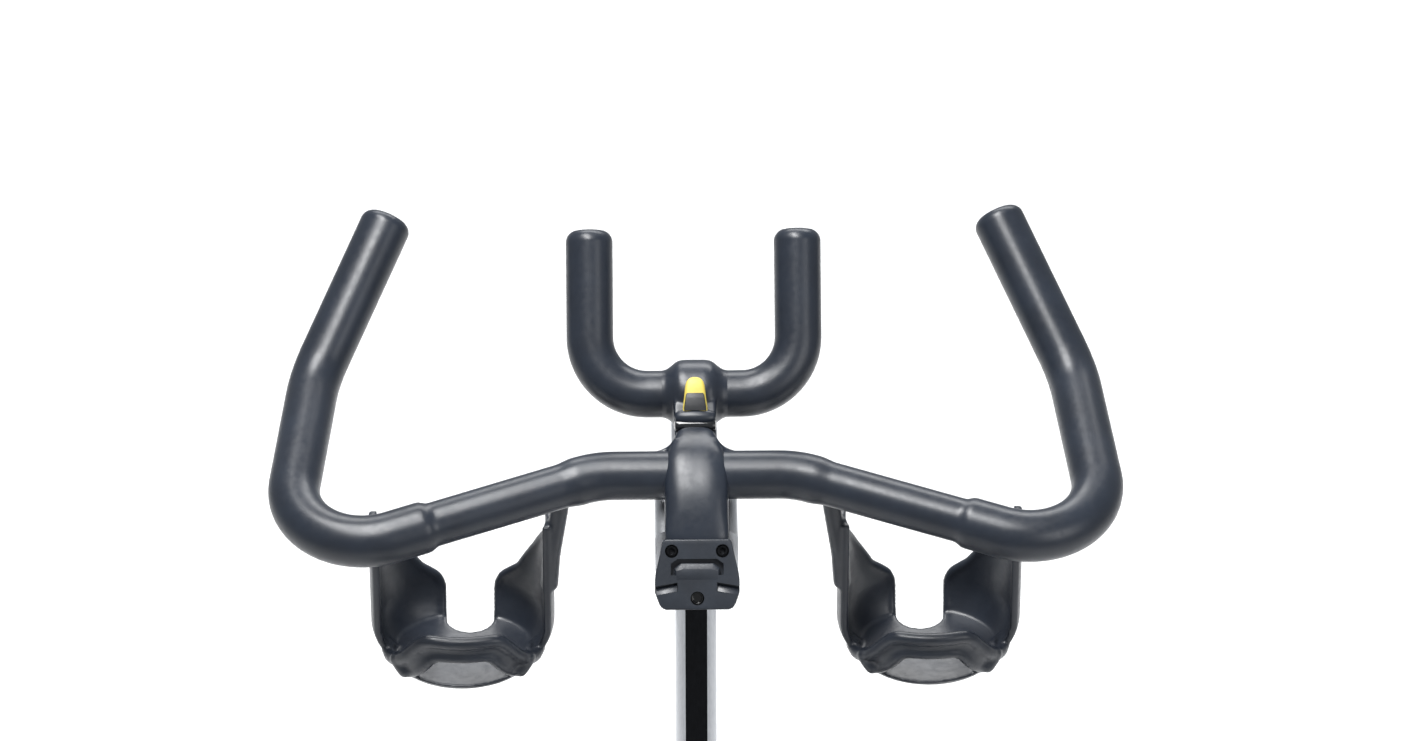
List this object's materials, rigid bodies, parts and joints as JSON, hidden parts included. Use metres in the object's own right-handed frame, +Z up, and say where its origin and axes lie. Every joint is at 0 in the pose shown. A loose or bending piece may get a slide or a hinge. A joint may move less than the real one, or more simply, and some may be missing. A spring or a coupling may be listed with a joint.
{
  "type": "indoor spin bike",
  "caption": "Stationary exercise bike with a front flywheel driven by a belt, adjustable saddle and handlebar, outer and inner hand grips, and bottle holders.",
  "frame": {"origin": "on the floor, under the middle of the bike's length and width", "axes": "+Y is the way the rider faces, +X is the rider's right, +Z is up"},
  "size_m": [0.549, 1.28, 1.1797],
  "materials": {
    "frame_paint": "fine-textured black powder coat",
    "silver_aluminium": "satin anodised",
    "black_anodised": "satin black anodised",
    "bar_coating": "smooth dipped soft-touch skin, dark slate grey",
    "holder_plastic": "fine-grained moulded plastic, dark slate grey",
    "moulded_plastic": "fine-grained moulded plastic",
    "gloss_plastic": "smooth gloss black",
    "accent_yellow": "satin yellow",
    "flywheel_iron": "turned, clear-coated",
    "bright_steel": "ground",
    "forged_black": "satin black over forged steel",
    "belt_rubber": "ribbed rubber",
    "foot_rubber": "matt",
    "saddle_cover": "grained synthetic leather",
    "magnet_metal": "nickel-plated"
  },
  "bodies": {
    "root": {"base_beam": "frame_paint", "rear_stabiliser": "frame_paint", "front_stabiliser": "frame_paint", "tube_end_caps": "moulded_plastic", "seat_tube": "frame_paint", "head_tube": "frame_paint", "down_tube": "frame_paint", "fork_crown": "frame_paint", "fork_leg_left": "frame_paint", "fork_leg_right": "frame_paint", "bearings": "bright_steel", "post_sleeves": "moulded_plastic", "post_collars": "black_anodised", "drive_belt": "belt_rubber", "belt_case_inner": "moulded_plastic", "belt_case_outer": "gloss_plastic", "brake_guide": "bright_steel", "brake_spring": "bright_steel"},
    "flywheel": {"flywheel": "flywheel_iron", "flywheel_axle": "bright_steel", "flywheel_pulley": "bright_steel"},
    "crank": {"crank_axle": "bright_steel", "crank_pulley": "silver_aluminium", "crank_arm_left": "forged_black", "crank_arm_right": "forged_black", "pedal_spindles": "bright_steel"},
    "pedal_left": {"pedal_left": "moulded_plastic", "toe_cage_left": "moulded_plastic"},
    "pedal_right": {"pedal_right": "moulded_plastic", "toe_cage_right": "moulded_plastic"},
    "brake_plunger": {"brake_rod": "bright_steel"},
    "resistance_knob": {"resistance_knob": "moulded_plastic"},
    "brake_caliper": {"magnet_caliper": "silver_aluminium", "brake_magnets": "magnet_metal"},
    "handlebar_post": {"handlebar_post": "silver_aluminium", "post_scale": "black_anodised", "slide_bar": "silver_aluminium"},
    "handlebar_post_lever": {"handlebar_post_lever": "moulded_plastic"},
    "handlebar": {"slider_housing": "silver_aluminium", "stem": "bar_coating", "main_bar": "bar_coating", "hand_grips": "bar_coating", "aero_bar": "bar_coating", "console_dock": "moulded_plastic", "bottle_holder_left": "holder_plastic", "bottle_holder_right": "holder_plastic"},
    "fore_aft_lever": {"fore_aft_lever": "gloss_plastic"},
    "seat_post": {"seat_post": "silver_aluminium"},
    "seat_post_lever": {"seat_post_lever": "moulded_plastic"},
    "saddle": {"saddle_carriage": "silver_aluminium", "saddle_wires": "bright_steel", "saddle_shell": "moulded_plastic", "saddle_pad": "saddle_cover"},
    "saddle_lever": {"saddle_lever": "moulded_plastic"},
    "transport_wheel_left": {"transport_wheel_left": "foot_rubber"},
    "transport_wheel_right": {"transport_wheel_right": "foot_rubber"},
    "levelling_foot_rear_left": {"levelling_foot_rear_left": "foot_rubber"},
    "levelling_foot_rear_right": {"levelling_foot_rear_right": "foot_rubber"},
    "levelling_foot_front_left": {"levelling_foot_front_left": "foot_rubber"},
    "levelling_foot_front_right": {"levelling_foot_front_right": "foot_rubber"}
  },
  "joints": [
    {"name": "flywheel_spin", "type": "hinge", "parent": "root", "child": "flywheel", "pos_m": [0, 0.405, 0.345], "axis": [1, 0, 0], "continuous": true},
    {"name": "crank_spin", "type": "hinge", "parent": "root", "child": "crank", "pos_m": [0, -0.02, 0.35], "axis": [1, 0, 0], "continuous": true},
    {"name": "pedal_left_spin", "type": "hinge", "parent": "crank", "child": "pedal_left", "pos_m": [-0.141, -0.17975, 0.40814], "axis": [1, 0, 0], "continuous": true},
    {"name": "pedal_right_spin", "type": "hinge", "parent": "crank", "child": "pedal_right", "pos_m": [0.141, 0.13975, 0.29186], "axis": [1, 0, 0], "continuous": true},
    {"name": "brake_press", "type": "slide", "parent": "root", "child": "brake_plunger", "axis": [0, 0.6994, -0.7148], "range_m": [0, 0.0055], "stiffness_N_per_m": 1500, "springref_m": -0.005},
    {"name": "knob_turn", "type": "hinge", "parent": "brake_plunger", "child": "resistance_knob", "pos_m": [0, 0.15897, 0.59646], "axis": [0, 0.6994, -0.7148], "range_deg": [0, 270]},
    {"name": "caliper_slide", "type": "slide", "parent": "root", "child": "brake_caliper", "axis": [0, 0.6994, -0.7148], "range_m": [0, 0.012]},
    {"name": "handlebar_height", "type": "slide", "parent": "root", "child": "handlebar_post", "axis": [0, 0.2079, 0.9781], "range_m": [-0.035, 0.09]},
    {"name": "handlebar_post_lever_turn", "type": "hinge", "parent": "root", "child": "handlebar_post_lever", "pos_m": [0, 0.38019, 0.75804], "axis": [1, 0, 0], "range_deg": [0, 80]},
    {"name": "handlebar_fore_aft", "type": "slide", "parent": "handlebar_post", "child": "handlebar", "axis": [0, 1, 0], "range_m": [-0.02, 0.03]},
    {"name": "fore_aft_lever_turn", "type": "hinge", "parent": "handlebar", "child": "fore_aft_lever", "pos_m": [0, 0.374, 1.0945], "axis": [1, 0, 0], "range_deg": [0, 70]},
    {"name": "seat_height", "type": "slide", "parent": "root", "child": "seat_post", "axis": [0, -0.2079, 0.9781], "range_m": [-0.06, 0.1]},
    {"name": "seat_post_lever_turn", "type": "hinge", "parent": "root", "child": "seat_post_lever", "pos_m": [0, -0.20296, 0.67136], "axis": [-1, 0, 0], "range_deg": [0, 80]},
    {"name": "saddle_fore_aft", "type": "slide", "parent": "seat_post", "child": "saddle", "axis": [0, 1, 0], "range_m": [-0.03, 0.03]},
    {"name": "saddle_lever_turn", "type": "hinge", "parent": "saddle", "child": "saddle_lever", "pos_m": [0.0325, -0.20017, 0.88096], "axis": [1, 0, 0], "range_deg": [0, 60]},
    {"name": "transport_wheel_left_spin", "type": "hinge", "parent": "root", "child": "transport_wheel_left", "pos_m": [-0.15, 0.613, 0.04], "axis": [1, 0, 0], "continuous": true},
    {"name": "transport_wheel_right_spin", "type": "hinge", "parent": "root", "child": "transport_wheel_right", "pos_m": [0.15, 0.613, 0.04], "axis": [1, 0, 0], "continuous": true},
    {"name": "levelling_foot_rear_left_screw", "type": "slide", "parent": "root", "child": "levelling_foot_rear_left", "axis": [0, 0, -1], "range_m": [0, 0.012]},
    {"name": "levelling_foot_rear_right_screw", "type": "slide", "parent": "root", "child": "levelling_foot_rear_right", "axis": [0, 0, -1], "range_m": [0, 0.012]},
    {"name": "levelling_foot_front_left_screw", "type": "slide", "parent": "root", "child": "levelling_foot_front_left", "axis": [0, 0, -1], "range_m": [0, 0.012]},
    {"name": "levelling_foot_front_right_screw", "type": "slide", "parent": "root", "child": "levelling_foot_front_right", "axis": [0, 0, -1], "range_m": [0, 0.012]}
  ],
  "couplings": [
    {"joint": "crank_spin", "follows": "flywheel_spin", "ratio": 0.25},
    {"joint": "knob_turn", "follows": "caliper_slide", "rad_per_m": 392.66}
  ]
}
